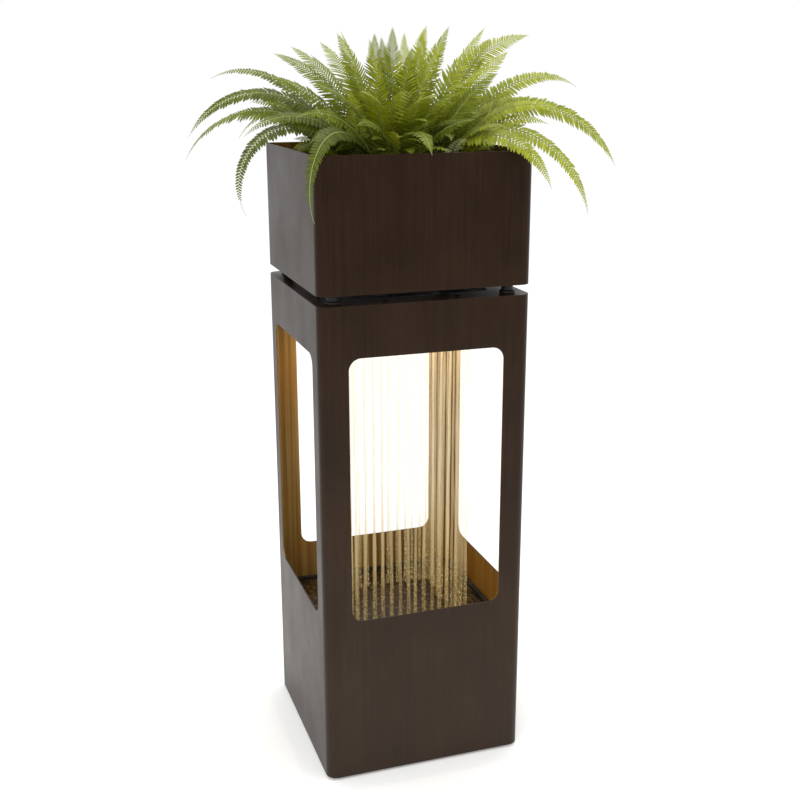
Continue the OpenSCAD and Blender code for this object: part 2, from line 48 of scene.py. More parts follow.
# ------------------------------------------------------------------ camera
def aim(loc, yaw, pitch, roll, lens):
    """Camera at loc in metres, turned by yaw, pitch and roll in radians, with lens in millimetres."""
    fwd = Vector((math.sin(-yaw) * math.cos(pitch), math.cos(yaw) * math.cos(pitch), math.sin(pitch)))
    right = fwd.cross(Vector((0, 0, 1))).normalized()
    up = right.cross(fwd)
    c, s = math.cos(roll), math.sin(roll)
    r2, u2 = right * c + up * s, up * c - right * s
    m = Matrix(((r2.x, u2.x, -fwd.x, loc[0]), (r2.y, u2.y, -fwd.y, loc[1]),
                (r2.z, u2.z, -fwd.z, loc[2]), (0, 0, 0, 1)))
    cam = bpy.data.cameras.new("camera")
    ob = bpy.data.objects.new("camera", cam)
    bpy.context.scene.collection.objects.link(ob)
    ob.matrix_world = m
    cam.lens, cam.sensor_width = lens, 36.0
    cam.clip_start, cam.clip_end = 0.05, 50
    bpy.context.scene.camera = ob

aim(loc=(-0.5908, -1.8024, 1.1576), yaw=-0.3228, pitch=-0.2807, roll=-0.0025, lens=51.25)

# ------------------------------------------------------------------ node helpers
def new_mat(name):
    m = bpy.data.materials.new(name)
    m.use_nodes = True
    return m, m.node_tree, m.node_tree.nodes["Principled BSDF"]

def put(t, kind, ins=None, **props):
    n = t.nodes.new(kind)
    for k, v in props.items():
        setattr(n, k, v)
    for k, v in (ins or {}).items():
        if isinstance(v, bpy.types.NodeSocket):
            t.links.new(v, n.inputs[k])
        else:
            n.inputs[k].default_value = v
    return n

def coords(t):
    return put(t, "ShaderNodeTexCoord").outputs["Object"]

def axis(t, vec, name):
    return put(t, "ShaderNodeSeparateXYZ", {"Vector": vec}).outputs[name]

def scaled(t, vec, scale):
    return put(t, "ShaderNodeMapping", {"Vector": vec, "Scale": scale}).outputs["Vector"]

def noise_tex(t, vec, scale, detail=4.0, rough=0.55):
    n = put(t, "ShaderNodeTexNoise", {"Vector": vec, "Scale": scale, "Detail": detail, "Roughness": rough})
    return n.outputs["Fac"]

def voronoi(t, vec, scale, out="Distance", feature="F1"):
    return put(t, "ShaderNodeTexVoronoi", {"Vector": vec, "Scale": scale, "Randomness": 1.0},
               feature=feature).outputs[out]

def math_n(t, op, a, b, clamp=False):
    n = put(t, "ShaderNodeMath", operation=op, use_clamp=clamp)
    for i, v in enumerate((a, b)):
        if isinstance(v, bpy.types.NodeSocket):
            t.links.new(v, n.inputs[i])
        else:
            n.inputs[i].default_value = v
    return n.outputs[0]

def weigh(t, a, part_a, b, part_b):
    """Weighted sum of two values."""
    return math_n(t, "ADD", math_n(t, "MULTIPLY", a, part_a), math_n(t, "MULTIPLY", b, part_b))

def remap(t, v, a, b, c, d, smooth=False):
    """Maps a..b onto c..d."""
    n = put(t, "ShaderNodeMapRange", {"Value": v, "From Min": a, "From Max": b, "To Min": c, "To Max": d},
            interpolation_type="SMOOTHSTEP" if smooth else "LINEAR")
    return n.outputs["Result"]

def mix_rgb(t, f, a, b, kind="MIX"):
    fac, col_a, col_b, out_col = 0, 6, 7, 2     # the mix node's sockets for colour
    n = put(t, "ShaderNodeMix", data_type="RGBA", blend_type=kind)
    for k, v in ((fac, f), (col_a, a), (col_b, b)):
        if isinstance(v, bpy.types.NodeSocket):
            t.links.new(v, n.inputs[k])
        elif k == fac:
            n.inputs[k].default_value = v
        else:
            n.inputs[k].default_value = (*v, 1.0)[:4]
    return n.outputs[out_col]

def ramp(t, f, stops):
    n = put(t, "ShaderNodeValToRGB", {"Fac": f})
    e = n.color_ramp.elements
    while len(e) < len(stops):
        e.new(0.5)
    for el, (p, c) in zip(e, stops):
        el.position, el.color = p, (*c, 1.0)
    return n.outputs["Color"]

def bump(t, height, strength, dist, normal=None):
    """Bump by height; dist is its depth in metres."""
    ins = {"Height": height, "Strength": strength, "Distance": dist}
    if normal is not None:
        ins["Normal"] = normal
    return put(t, "ShaderNodeBump", ins).outputs["Normal"]

def wire(t, b, **ins):
    """Links or sets the shader's sockets; an underscore stands for a space."""
    for k, v in ins.items():
        k = k.replace("_", " ")
        if isinstance(v, bpy.types.NodeSocket):
            t.links.new(v, b.inputs[k])
        else:
            b.inputs[k].default_value = v

def dress(mat, *names):
    """Gives a material to CAD nodes."""
    for n in names:
        ob = nodes[n]
        ob.data.materials.clear()
        ob.data.materials.append(mat)

# ------------------------------------------------------------------ materials
def bronze():
    m, t, b = new_mat("bronze_sheet")
    o = coords(t)
    brush = noise_tex(t, scaled(t, o, (700, 700, 14)), 1.0, 3.0, 0.6)
    brush2 = noise_tex(t, scaled(t, o, (160, 160, 3)), 1.0, 2.0, 0.5)
    blot = noise_tex(t, scaled(t, o, (1, 1, 0.7)), 11.0, 5.0, 0.6)
    speck = noise_tex(t, o, 900.0, 2.0, 0.7)
    f = weigh(t, brush, 0.35, brush2, 0.3)
    f = math_n(t, "ADD", f, math_n(t, "MULTIPLY", blot, 0.45))
    col = ramp(t, f, [(0.38, (0.0098, 0.0040, 0.0013)), (0.55, (0.0162, 0.0068, 0.0023)),
                      (0.75, (0.0255, 0.0120, 0.0046))])
    # the sheet is painted lighter towards the foot, a painted reflection of the pale floor
    height = axis(t, o, "Z")
    col = mix_rgb(t, remap(t, height, 0.90, 0.10, 0.0, 1.0), col, (0.0175, 0.0150, 0.0125), "ADD")
    # edges of the sheet are painted a little lighter, in patches: a painted highlight where the edges
    # catch the light
    nrm = put(t, "ShaderNodeBevel", {"Radius": 0.0011}, samples=6).outputs["Normal"]
    geo = put(t, "ShaderNodeNewGeometry")
    dot = put(t, "ShaderNodeVectorMath", {0: nrm, 1: geo.outputs["Normal"]},
              operation="DOT_PRODUCT").outputs["Value"]
    edge_highlight = remap(t, dot, 0.985, 0.80, 0.0, 1.0)
    edge_highlight = math_n(t, "MULTIPLY", edge_highlight, remap(t, blot, 0.35, 0.6, 0.35, 1.0), clamp=True)
    col = mix_rgb(t, math_n(t, "MULTIPLY", edge_highlight, 0.55), col, (0.085, 0.055, 0.034))
    # the inside, where the normal points at the column's axis, is painted a brighter gold bronze: painted
    # light from the LED bars above falling on the same dark sheet
    tn = put(t, "ShaderNodeTexCoord")
    flat = scaled(t, tn.outputs["Object"], (1, 1, 0))
    side = put(t, "ShaderNodeVectorMath", {0: flat, 1: tn.outputs["Normal"]},
               operation="DOT_PRODUCT").outputs["Value"]
    ins = remap(t, side, -0.02, -0.06, 0.0, 1.0)
    band = noise_tex(t, scaled(t, o, (130, 130, 1.2)), 1.0, 3.0, 0.6)
    gold = mix_rgb(t, remap(t, band, 0.36, 0.64, 0.0, 1.0), (0.100, 0.055, 0.014), (0.215, 0.136, 0.043))
    gold = mix_rgb(t, remap(t, blot, 0.45, 0.7, 0.0, 0.5), gold, (0.17, 0.075, 0.014))
    # low on the +x wall it is a deeper orange
    across = axis(t, o, "X")
    low = math_n(t, "MULTIPLY", remap(t, across, 0.155, 0.168, 0.0, 1.0),
                 remap(t, height, 0.36, 0.26, 0.0, 0.85))
    gold = mix_rgb(t, low, gold, mix_rgb(t, band, (0.15, 0.055, 0.006), (0.34, 0.165, 0.026)))
    col = mix_rgb(t, ins, col, gold)
    rough = remap(t, math_n(t, "ADD", blot, math_n(t, "MULTIPLY", speck, 0.5)), 0.4, 1.0, 0.24, 0.40)
    h = weigh(t, brush, 0.6, speck, 0.4)
    wire(t, b, Base_Color=col, Roughness=rough, Normal=bump(t, h, 0.12, 0.0004, nrm), Metallic=0.0)
    b.inputs["IOR"].default_value = 1.19
    return m

def plastic(name, dark, light, rough, grain, depth):
    m, t, b = new_mat(name)
    o = coords(t)
    blot = noise_tex(t, o, 35.0, 5.0, 0.6)
    cells = voronoi(t, o, grain)
    fine = noise_tex(t, o, grain * 0.6, 3.0, 0.6)
    col = mix_rgb(t, remap(t, blot, 0.35, 0.7, 0.0, 1.0), dark, light)
    col = mix_rgb(t, math_n(t, "MULTIPLY", cells, 0.25), col, light)
    h = math_n(t, "ADD", cells, fine)
    mat = remap(t, math_n(t, "ADD", blot, fine), 0.6, 1.4, rough - 0.08, rough + 0.1)
    wire(t, b, Base_Color=col, Roughness=mat, Normal=bump(t, h, depth, 0.0003))
    b.inputs["IOR"].default_value = 1.46
    return m

def metal(name, dark, light, rough, streak):
    m, t, b = new_mat(name)
    o = coords(t)
    line = noise_tex(t, scaled(t, o, streak), 1.0, 4.0, 0.65)
    blot = noise_tex(t, o, 28.0, 5.0, 0.6)
    scratch = voronoi(t, scaled(t, o, (90, 340, 60)), 1.0, "Distance", "DISTANCE_TO_EDGE")
    mark = remap(t, scratch, 0.0, 0.03, 0.5, 0.0)
    f = weigh(t, line, 0.6, blot, 0.4)
    col = mix_rgb(t, remap(t, f, 0.35, 0.65, 0.0, 1.0), dark, light)
    col = mix_rgb(t, mark, col, dark)
    wire(t, b, Base_Color=col, Metallic=1.0, Roughness=remap(t, f, 0.3, 0.7, rough - 0.08, rough + 0.12),
         Normal=bump(t, line, 0.15, 0.0003))
    return m

def basin_mat():
    m, t, b = new_mat("black_basin")
    o = coords(t)
    blot = noise_tex(t, o, 20.0, 5.0, 0.6)
    fine = noise_tex(t, o, 700.0, 3.0, 0.6)
    lime = noise_tex(t, scaled(t, o, (40, 40, 8)), 1.0, 4.0, 0.7)
    # a chalky band near the water line
    band = math_n(t, "MULTIPLY", remap(t, axis(t, o, "Z"), 0.205, 0.219, 0.0, 1.0, True),
                  remap(t, lime, 0.5, 0.68, 0.0, 0.6))
    col = mix_rgb(t, blot, (0.005, 0.005, 0.005), (0.014, 0.013, 0.012))
    col = mix_rgb(t, band, col, (0.055, 0.048, 0.038))
    wire(t, b, Base_Color=col, Roughness=remap(t, blot, 0.3, 0.7, 0.55, 0.75),
         Normal=bump(t, fine, 0.2, 0.0003))
    b.inputs["IOR"].default_value = 1.3
    return m

def board_mat():
    m, t, b = new_mat("led_board")
    o = coords(t)
    blot = noise_tex(t, o, 160.0, 3.0, 0.6)
    trace = voronoi(t, scaled(t, o, (1, 1, 0)), 260.0, "Distance", "DISTANCE_TO_EDGE")
    f = remap(t, trace, 0.02, 0.05, 1.0, 0.0)
    copper = math_n(t, "MULTIPLY", f, 0.6)
    col = mix_rgb(t, copper, mix_rgb(t, blot, (0.75, 0.72, 0.62), (0.85, 0.82, 0.72)), (0.62, 0.40, 0.16))
    wire(t, b, Base_Color=col, Roughness=0.45, Normal=bump(t, f, 0.2, 0.0002))
    return m

def lens_mat():
    m, t, b = new_mat("led_lens")
    o = coords(t)
    flat = scaled(t, o, (1, 1, 0))
    rib = put(t, "ShaderNodeTexWave", {"Vector": flat, "Scale": 900.0, "Distortion": 0.6},
              bands_direction="DIAGONAL").outputs["Fac"]
    blot = noise_tex(t, o, 60.0, 3.0, 0.6)
    col = mix_rgb(t, blot, (0.95, 0.84, 0.62), (1.0, 0.93, 0.78))
    wire(t, b, Base_Color=col, Roughness=0.25, Normal=bump(t, rib, 0.3, 0.0003),
         Emission_Color=mix_rgb(t, blot, (1.0, 0.62, 0.27), (1.0, 0.74, 0.40)))
    b.inputs["Emission Strength"].default_value = 6.0
    return m

def soil_mat():
    m, t, b = new_mat("potting_soil")
    o = coords(t)
    big = noise_tex(t, o, 60.0, 6.0, 0.7)
    fine = noise_tex(t, o, 420.0, 5.0, 0.7)
    bark = voronoi(t, o, 130.0, "Color")
    f = weigh(t, fine, 0.6, axis(t, bark, "X"), 0.4)
    col = ramp(t, f, [(0.2, (0.006, 0.004, 0.003)), (0.5, (0.028, 0.017, 0.010)),
                      (0.72, (0.075, 0.045, 0.026)), (0.95, (0.17, 0.12, 0.08))])
    wire(t, b, Base_Color=col, Roughness=0.92, Normal=bump(t, math_n(t, "ADD", big, fine), 0.9, 0.003))
    return m

def leaf_mat():
    m, t, b = new_mat("fern_leaf")
    o = coords(t)
    tone = put(t, "ShaderNodeAttribute", attribute_name="tone").outputs["Fac"]
    rib = put(t, "ShaderNodeAttribute", attribute_name="rib").outputs["Fac"]
    blot = noise_tex(t, o, 90.0, 3.0, 0.6)
    fine = noise_tex(t, o, 900.0, 2.0, 0.6)
    f = weigh(t, tone, 0.77, math_n(t, "SUBTRACT", blot, 0.5), 0.25)
    col = ramp(t, f, [(0.0, (0.024, 0.037, 0.001)), (0.27, (0.082, 0.106, 0.003)),
                      (0.50, (0.180, 0.210, 0.007)), (0.77, (0.345, 0.380, 0.026)),
                      (1.0, (0.68, 0.73, 0.50))])
    # the midrib is lighter: partly its own paler colour, partly a painted highlight along the rachis
    col = mix_rgb(t, math_n(t, "MULTIPLY", rib, 0.34), col, mix_rgb(t, 0.5, col, (0.42, 0.48, 0.10)))
    wire(t, b, Base_Color=col, Roughness=remap(t, fine, 0.3, 0.7, 0.34, 0.54),
         Normal=bump(t, math_n(t, "ADD", fine, math_n(t, "MULTIPLY", rib, 0.8)), 0.25, 0.0004))
    b.inputs["IOR"].default_value = 1.28
    out = t.nodes["Material Output"]
    through = mix_rgb(t, 1.0, col, (1.20, 1.15, 0.25), "MULTIPLY")
    tr = put(t, "ShaderNodeBsdfTranslucent", {"Color": through})
    mx = put(t, "ShaderNodeMixShader", {0: 0.24, 1: b.outputs[0], 2: tr.outputs[0]})
    t.links.new(mx.outputs[0], out.inputs["Surface"])
    return m

def stem_mat():
    m, t, b = new_mat("fern_stem")
    o = coords(t)
    tone = put(t, "ShaderNodeAttribute", attribute_name="tone").outputs["Fac"]
    streak = noise_tex(t, scaled(t, o, (900, 900, 60)), 1.0, 3.0, 0.6)
    col = ramp(t, tone, [(0.0, (0.045, 0.030, 0.012)), (0.45, (0.13, 0.15, 0.030)),
                         (1.0, (0.33, 0.42, 0.10))])
    col = mix_rgb(t, math_n(t, "MULTIPLY", streak, 0.4), col, (0.09, 0.055, 0.02))
    wire(t, b, Base_Color=col, Roughness=0.55, Normal=bump(t, streak, 0.3, 0.0003))
    return m

def fibre_mat():
    m, t, b = new_mat("crown_fibre")
    o = coords(t)
    s = noise_tex(t, scaled(t, o, (500, 500, 90)), 1.0, 5.0, 0.7)
    big = noise_tex(t, o, 80.0, 3.0, 0.6)
    col = ramp(t, weigh(t, s, 0.6, big, 0.4),
               [(0.3, (0.018, 0.010, 0.005)), (0.55, (0.085, 0.048, 0.02)), (0.8, (0.22, 0.15, 0.07))])
    wire(t, b, Base_Color=col, Roughness=0.85, Normal=bump(t, s, 0.8, 0.001))
    return m

def water_mat():
    """Rain as soft ropes with a painted glow in place of the LED light they carry down: cream at the top,
    gold and frothy at the foot.
    """
    m, t, b = new_mat("stream_water")
    o = coords(t)
    z = axis(t, o, "Z")
    streak = noise_tex(t, scaled(t, o, (420, 420, 9)), 1.0, 3.0, 0.6)
    froth = noise_tex(t, scaled(t, o, (520, 520, 210)), 1.0, 4.0, 0.75)
    fall = remap(t, z, 0.75, 0.22, 0.0, 1.0)
    painted_glow = ramp(t, fall, [(0.0, (0.82, 0.71, 0.48)), (0.50, (0.74, 0.62, 0.40)),
                          (0.74, (0.52, 0.40, 0.20)), (0.86, (0.20, 0.132, 0.044)),
                          (1.0, (0.10, 0.064, 0.018))])
    # painted glints in the froth near the foot
    painted_glint = remap(t, froth, 0.53, 0.66, 0.0, 1.0, True)
    painted_glint = math_n(t, "MULTIPLY", painted_glint, remap(t, fall, 0.66, 0.88, 0.04, 0.80, True))
    painted_glow = mix_rgb(t, painted_glint, painted_glow, (0.95, 0.74, 0.36))
    # the water's warm brown base colour is painted LED light as well; the water itself is clear
    wire(t, b, Base_Color=mix_rgb(t, streak, (0.17, 0.125, 0.055), (0.28, 0.21, 0.11)),
         Emission_Color=painted_glow, Roughness=remap(t, streak, 0.3, 0.7, 0.08, 0.2),
         Normal=bump(t, froth, 0.3, 0.0006))
    b.inputs["Emission Strength"].default_value = 0.85
    b.inputs["IOR"].default_value = WATER_IOR
    # glassy edges: the rope thins out towards its rim
    face = put(t, "ShaderNodeLayerWeight", {"Blend": 0.5}).outputs["Facing"]
    body = remap(t, face, 0.15, 0.95, 1.0, 0.10, True)
    dens = remap(t, fall, 0.66, 0.95, 0.24, 0.42, True)
    dens = math_n(t, "MULTIPLY", dens, remap(t, streak, 0.35, 0.65, 0.55, 1.45))
    # near the foot the froth breaks it up
    frothy = put(t, "ShaderNodeCombineXYZ", {"X": remap(t, froth, 0.42, 0.60, 0.25, 1.5)}).outputs[0]
    grain = mix_rgb(t, remap(t, fall, 0.70, 0.90, 0.0, 1.0, True), (1.0, 1.0, 1.0), frothy)
    dens = math_n(t, "MULTIPLY", dens, axis(t, grain, "X"))
    clear = put(t, "ShaderNodeBsdfTransparent", {"Color": (1.0, 1.0, 1.0, 1.0)})
    solid = math_n(t, "MULTIPLY", dens, body, True)
    mx = put(t, "ShaderNodeMixShader", {0: solid, 1: clear.outputs[0], 2: b.outputs[0]})
    t.links.new(mx.outputs[0], t.nodes["Material Output"].inputs["Surface"])
    return m

def pool_mat():
    m, t, b = new_mat("pool_water")
    o = scaled(t, coords(t), (1, 1, 0))
    w1 = noise_tex(t, o, 90.0, 4.0, 0.6)
    w2 = noise_tex(t, o, 380.0, 3.0, 0.6)
    wave = voronoi(t, o, 130.0, "Distance", "SMOOTH_F1")
    f = weigh(t, w1, 0.4, w2, 0.6)
    # near-black for the black basin under the water; the gold-brown where the ripples rise is a painted
    # reflection of the lit gold walls
    col = ramp(t, f, [(0.40, (0.006, 0.0035, 0.0012)), (0.52, (0.026, 0.0155, 0.005)),
                      (0.62, (0.12, 0.078, 0.027))])
    h = math_n(t, "ADD", w1, math_n(t, "MULTIPLY", w2, 0.5))
    h = math_n(t, "ADD", h, math_n(t, "MULTIPLY", wave, 0.6))
    wire(t, b, Base_Color=col, Roughness=0.10, Normal=bump(t, h, 0.8, 0.0020))
    b.inputs["IOR"].default_value = WATER_IOR
    return m

M = {
    "bronze": bronze(),
    "rubber": plastic("black_rubber", (0.006, 0.006, 0.006), (0.016, 0.015, 0.015), 0.5, 1800.0, 0.3),
    "basin": basin_mat(),
    "tray": metal("tray_steel", (0.36, 0.36, 0.37), (0.62, 0.62, 0.63), 0.32, (300, 20, 300)),
    "steel": metal("fastener_steel", (0.42, 0.42, 0.43), (0.70, 0.70, 0.71), 0.26, (900, 900, 120)),
    "blackened": metal("blackened_screw", (0.012, 0.011, 0.010), (0.035, 0.032, 0.030), 0.42,
                       (900, 900, 120)),
    "alu": metal("led_body", (0.55, 0.55, 0.56), (0.80, 0.80, 0.81), 0.36, (30, 30, 900)),
    "board": board_mat(), "lens": lens_mat(),
    "cable": plastic("black_cable", (0.008, 0.008, 0.008), (0.022, 0.022, 0.022), 0.42, 1500.0, 0.2),
    "pipe": plastic("grey_pipe", (0.020, 0.020, 0.020), (0.045, 0.045, 0.046), 0.34, 1100.0, 0.12),
    "pump": plastic("pump_black", (0.009, 0.009, 0.010), (0.024, 0.024, 0.026), 0.33, 1700.0, 0.25),
    "white": plastic("impeller_white", (0.62, 0.62, 0.59), (0.78, 0.78, 0.75), 0.4, 900.0, 0.1),
    "orange": plastic("dial_orange", (0.50, 0.12, 0.02), (0.70, 0.22, 0.05), 0.35, 1200.0, 0.15),
    "grey": plastic("driver_grey", (0.028, 0.028, 0.03), (0.055, 0.055, 0.058), 0.5, 1300.0, 0.35),
    "liner": plastic("liner_black", (0.008, 0.008, 0.008), (0.024, 0.023, 0.022), 0.55, 800.0, 0.3),
    "soil": soil_mat(), "leaf": leaf_mat(), "stem": stem_mat(), "fibre": fibre_mat(),
    "stream": water_mat(), "pool": pool_mat(),
}
dress(M["bronze"], "tower_shell", "deck_plate", "base_frame", "basin_ledges", "planter_shell",
      "planter_floor")
dress(M["rubber"], "foot_pads", "suction_cups", "standoffs")
dress(M["basin"], "basin")
dress(M["tray"], "rain_tray")
dress(M["steel"], "foot_screws", "rain_nozzles", "riser_clips", "hose_clamps", "pump_shaft")
dress(M["blackened"], "tray_screws", "standoff_screws")
dress(M["alu"], "led_housings")
dress(M["board"], "led_boards")
dress(M["lens"], "led_lenses")
dress(M["cable"], "led_cable", "pump_cable", "supply_hose")
dress(M["pipe"], "riser_pipe", "tray_inlet")
dress(M["pump"], "pump_housing", "pump_cover", "cable_gland")
dress(M["white"], "impeller")
dress(M["orange"], "flow_dial")
dress(M["grey"], "driver_box", "driver_lid")
dress(M["liner"], "grow_liner")
dress(M["soil"], "potting_soil")
dress(M["fibre"], "fern_crown")
dress(M["leaf"], "fern_fronds_inner", "fern_fronds_middle", "fern_fronds_outer")

# ------------------------------------------------------------------ mesh helpers
def make(name, verts, faces, mats, body, attrs, face_mat, smooth):
    """A mesh object with point attributes and a material for each face."""
    me = bpy.data.meshes.new(name)
    me.from_pydata([tuple(v) for v in verts], [], [tuple(int(i) for i in f) for f in faces])
    for m in mats:
        me.materials.append(m)
    me.polygons.foreach_set("material_index", np.asarray(face_mat, np.int32))
    for k, v in attrs.items():
        a = me.attributes.new(k, "FLOAT", "POINT")
        a.data.foreach_set("value", np.asarray(v, np.float32))
    me.polygons.foreach_set("use_smooth", [smooth] * len(me.polygons))
    me.validate()
    me.update()
    ob = bpy.data.objects.new(name, me)
    bpy.context.scene.collection.objects.link(ob)
    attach(ob, body)
    return ob

class Pile:
    """Collects vertices, faces and point attributes for one mesh."""
    def __init__(self):
        self.v, self.f, self.m, self.n = [], [], [], 0
        self.a = {}
    def add(self, v, f, mat=0, **attrs):
        v = np.asarray(v, float)
        self.v.append(v)
        self.f.extend([tuple(int(i) + self.n for i in face) for face in f])
        self.m.extend([mat] * len(f))
        for k, val in attrs.items():
            val = np.broadcast_to(np.asarray(val, float), (len(v),))
            self.a.setdefault(k, []).append(val)
        self.n += len(v)
    def build(self, name, mats, body, smooth=True):
        at = {k: np.concatenate(x) for k, x in self.a.items()}
        return make(name, np.concatenate(self.v), self.f, mats, body, at, self.m, smooth)

def tube(points, radii, sides):
    """A closed round tube along points."""
    p = np.asarray(points, float)
    tan = np.gradient(p, axis=0)
    tan /= np.linalg.norm(tan, axis=1)[:, None]
    ref = np.array([0.0, 0.0, 1.0]) if abs(tan[0, 2]) < 0.9 else np.array([1.0, 0.0, 0.0])
    vs = []
    s = np.cross(tan[0], ref)
    s /= np.linalg.norm(s)
    for i in range(len(p)):
        s = s - tan[i] * (s @ tan[i])
        s /= np.linalg.norm(s)
        u = np.cross(tan[i], s)
        for k in range(sides):
            a = 2 * math.pi * k / sides
            vs.append(p[i] + radii[i] * (math.cos(a) * s + math.sin(a) * u))
    fs = []
    for i in range(len(p) - 1):
        for k in range(sides):
            a, b = i * sides + k, i * sides + (k + 1) % sides
            fs.append((a, b, b + sides, a + sides))
    fs.append(tuple(range(sides - 1, -1, -1)))
    fs.append(tuple((len(p) - 1) * sides + k for k in range(sides)))
    return np.array(vs), fs

# ------------------------------------------------------------------ fern
CROWN_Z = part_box("fern_crown")[0].z
BEND = 1.3              # how a frond's turn is spread: 1 is even, more puts it near the tip

def frond_curve(az, length, up, drop, r0, z0, n, sway, bend, base):
    """Points of the midrib: heading az, pitch up at the crown, turned down by drop on the way."""
    s = (np.arange(n) + 0.5) / n
    e = np.radians(up - drop * s ** bend)
    d = length / n
    r = np.concatenate([[0], np.cumsum(d * np.cos(e))]) + r0
    z = np.concatenate([[0], np.cumsum(d * np.sin(e))]) + z0
    side = sway * (np.linspace(0, 1, n + 1) ** 2) * length
    a = math.radians(az)
    x = base[0] + r * math.cos(a) - side * math.sin(a)
    y = base[1] + r * math.sin(a) + side * math.cos(a)
    return np.stack([x, y, z], 1)

def pinna(root, along, side, normal, length, width, sweep, droop, lift, curl):
    """One leaflet: a narrow blade with a raised midrib, swept towards the frond's tip."""
    n = 8                   # steps along the leaflet
    u = np.linspace(0, 1, n + 1)
    shape = np.clip(1.25 * (u + 0.10) ** 0.28 * (1 - u ** 2.6) ** 0.75, 0.05, None)
    shape[-1] = 0.04
    # a toothed edge
    shape *= 1 + 0.10 * np.where(np.arange(n + 1) % 2 == 0, 1, -1) * (u < 0.92)
    hw = 0.5 * width * shape / 1.25
    ang = sweep + curl * u ** 1.6
    step = length / n
    d = side[None] * np.cos(ang)[:, None] + along[None] * np.sin(ang)[:, None]
    mid = root + np.concatenate([np.zeros((1, 3)), np.cumsum(d[:-1] * step, 0)])
    mid = mid + normal[None] * (lift * u - droop * u ** 2)[:, None] * length
    mid[:, 2] -= 0.10 * droop * length * u ** 2
    across = along[None] * np.cos(ang)[:, None] - side[None] * np.sin(ang)[:, None]
    keel = normal[None] * (0.16 * hw)[:, None]
    lf, rt = mid - across * hw[:, None] - keel, mid + across * hw[:, None] - keel
    v = np.stack([lf, mid, rt], 1).reshape(-1, 3)
    f = []
    for i in range(n):
        a = 3 * i
        f += [(a, a + 1, a + 4, a + 3), (a + 1, a + 2, a + 5, a + 4)]
    # the midrib line, raised in the bump and lighter in colour; the leaflet's foot by the rachis is
    # lighter still, a painted highlight
    rib = np.tile([0.0, 1.0, 0.0], n + 1)
    rib[:3] = 1.0
    rib[3:6] = 0.6
    return v, f, rib

def add_frond(pile, az, length, up, drop, r0, z0, tone, wide, roll, seed, pitch, sway=0.0,
              base=(0.0, 0.0), bend=BEND):
    """A midrib with two rows of leaflets. pitch is the leaflets' spacing at the foot."""
    bare = 0.10             # the share of the stalk without leaflets
    sides, samples = 5, 80
    steep = up > 60
    r = np.random.default_rng(seed)
    steps = [0.0]
    while steps[-1] < 1.0:
        steps.append(steps[-1] + pitch / length * (1 - 0.66 * steps[-1] ** 1.6))
    s = np.array(steps) / steps[-1]
    n = len(s) - 1
    fine = frond_curve(az, length, up, drop, r0, z0, samples, sway, bend, base)
    p = np.stack([np.interp(s, np.linspace(0, 1, samples + 1), fine[:, c]) for c in range(3)], 1)
    rad = 0.0012 * (1 - s) + 0.00028
    rv, rf = tube(p, rad, sides)
    pile.add(rv, rf, 1, tone=np.repeat(0.50 + 0.5 * s, sides), rib=0.0)
    tan = np.gradient(p, s, axis=0)
    tan /= np.linalg.norm(tan, axis=1)[:, None]
    gap = np.diff(s, append=s[-1] + (s[-1] - s[-2])) * length
    a = math.radians(az)
    flat = np.array([-math.sin(a), math.cos(a), 0.0])
    half = min(wide, 0.50 * length) / 2
    tw0 = roll + r.uniform(-0.1, 0.1)
    for i in range(n):
        if s[i] < bare:
            continue
        q = (s[i] - bare) / (1 - bare)
        # leaflets are full length over the middle and shrink to nothing at the tip
        prof = min(1.0, 0.60 + 1.6 * q) * (1 - q ** (2.3 if steep else 1.8))
        ln = half * max(prof, 0.03) * r.uniform(0.93, 1.05)
        if ln < 0.0012:
            continue
        t = tan[i]
        side = flat - t * (flat @ t)
        side /= np.linalg.norm(side)
        nrm = np.cross(t, side)
        if nrm[2] < 0 and abs(t[2]) < 0.98:
            nrm = -nrm
        tw = tw0 + 0.5 * roll * s[i]
        side, nrm = (side * math.cos(tw) + nrm * math.sin(tw),
                     nrm * math.cos(tw) - side * math.sin(tw))
        for sg in (1, -1):
            sweep = r.uniform(0.14, 0.26) + (0.20 if steep else 0.0) + 0.34 * q
            wid = min(gap[i] * ((1.36 if pitch > 0.008 else 1.14) - 0.44 * sweep), ln * 0.58)
            root = p[i] + t * (gap[i] * 0.25 * sg) + side * sg * rad[i] * 0.6
            v, f, rib = pinna(root, t, side * sg, nrm, ln, wid, sweep,
                              r.uniform(0.20, 0.42), r.uniform(0.08, 0.18), r.uniform(0.10, 0.35))
            tn = np.clip(tone + 0.34 * (q - 0.6) + r.uniform(-0.11, 0.11), 0, 1.02 if tone < 1.3 else 1.3)
            pile.add(v, f, 0, tone=tn, rib=rib)

# Fronds by ring: heading, length, pitch, turn on the way, brightness, roll and, in the outer ring,
# bend. Angles are in degrees and lengths in millimetres.
INNER = [(30, 210, 80, 15, .85, .1), (70, 200, 80, -10, .50, 0), (110, 190, 80, -10, .50, .1),
         (150, 200, 80, 20, .70, -.1), (190, 200, 80, 20, .80, .1), (230, 190, 80, 25, .80, 0),
         (270, 180, 80, 30, .55, .1), (310, 190, 80, 25, .90, .1), (350, 210, 80, 20, .70, -.1)]
MIDDLE = [(10, 300, 70, 65, .85, .1), (45, 250, 70, 50, .80, .1), (75, 240, 70, 50, .65, 0),
          (110, 240, 70, 45, .60, .1), (140, 220, 75, 50, .55, .2), (175, 220, 75, 60, .50, -.1),
          (205, 200, 75, 50, .60, .1), (240, 190, 65, 70, .65, 0), (270, 190, 65, 75, .60, .1),
          (305, 210, 70, 60, .75, 0), (335, 220, 75, 25, .90, -.1)]
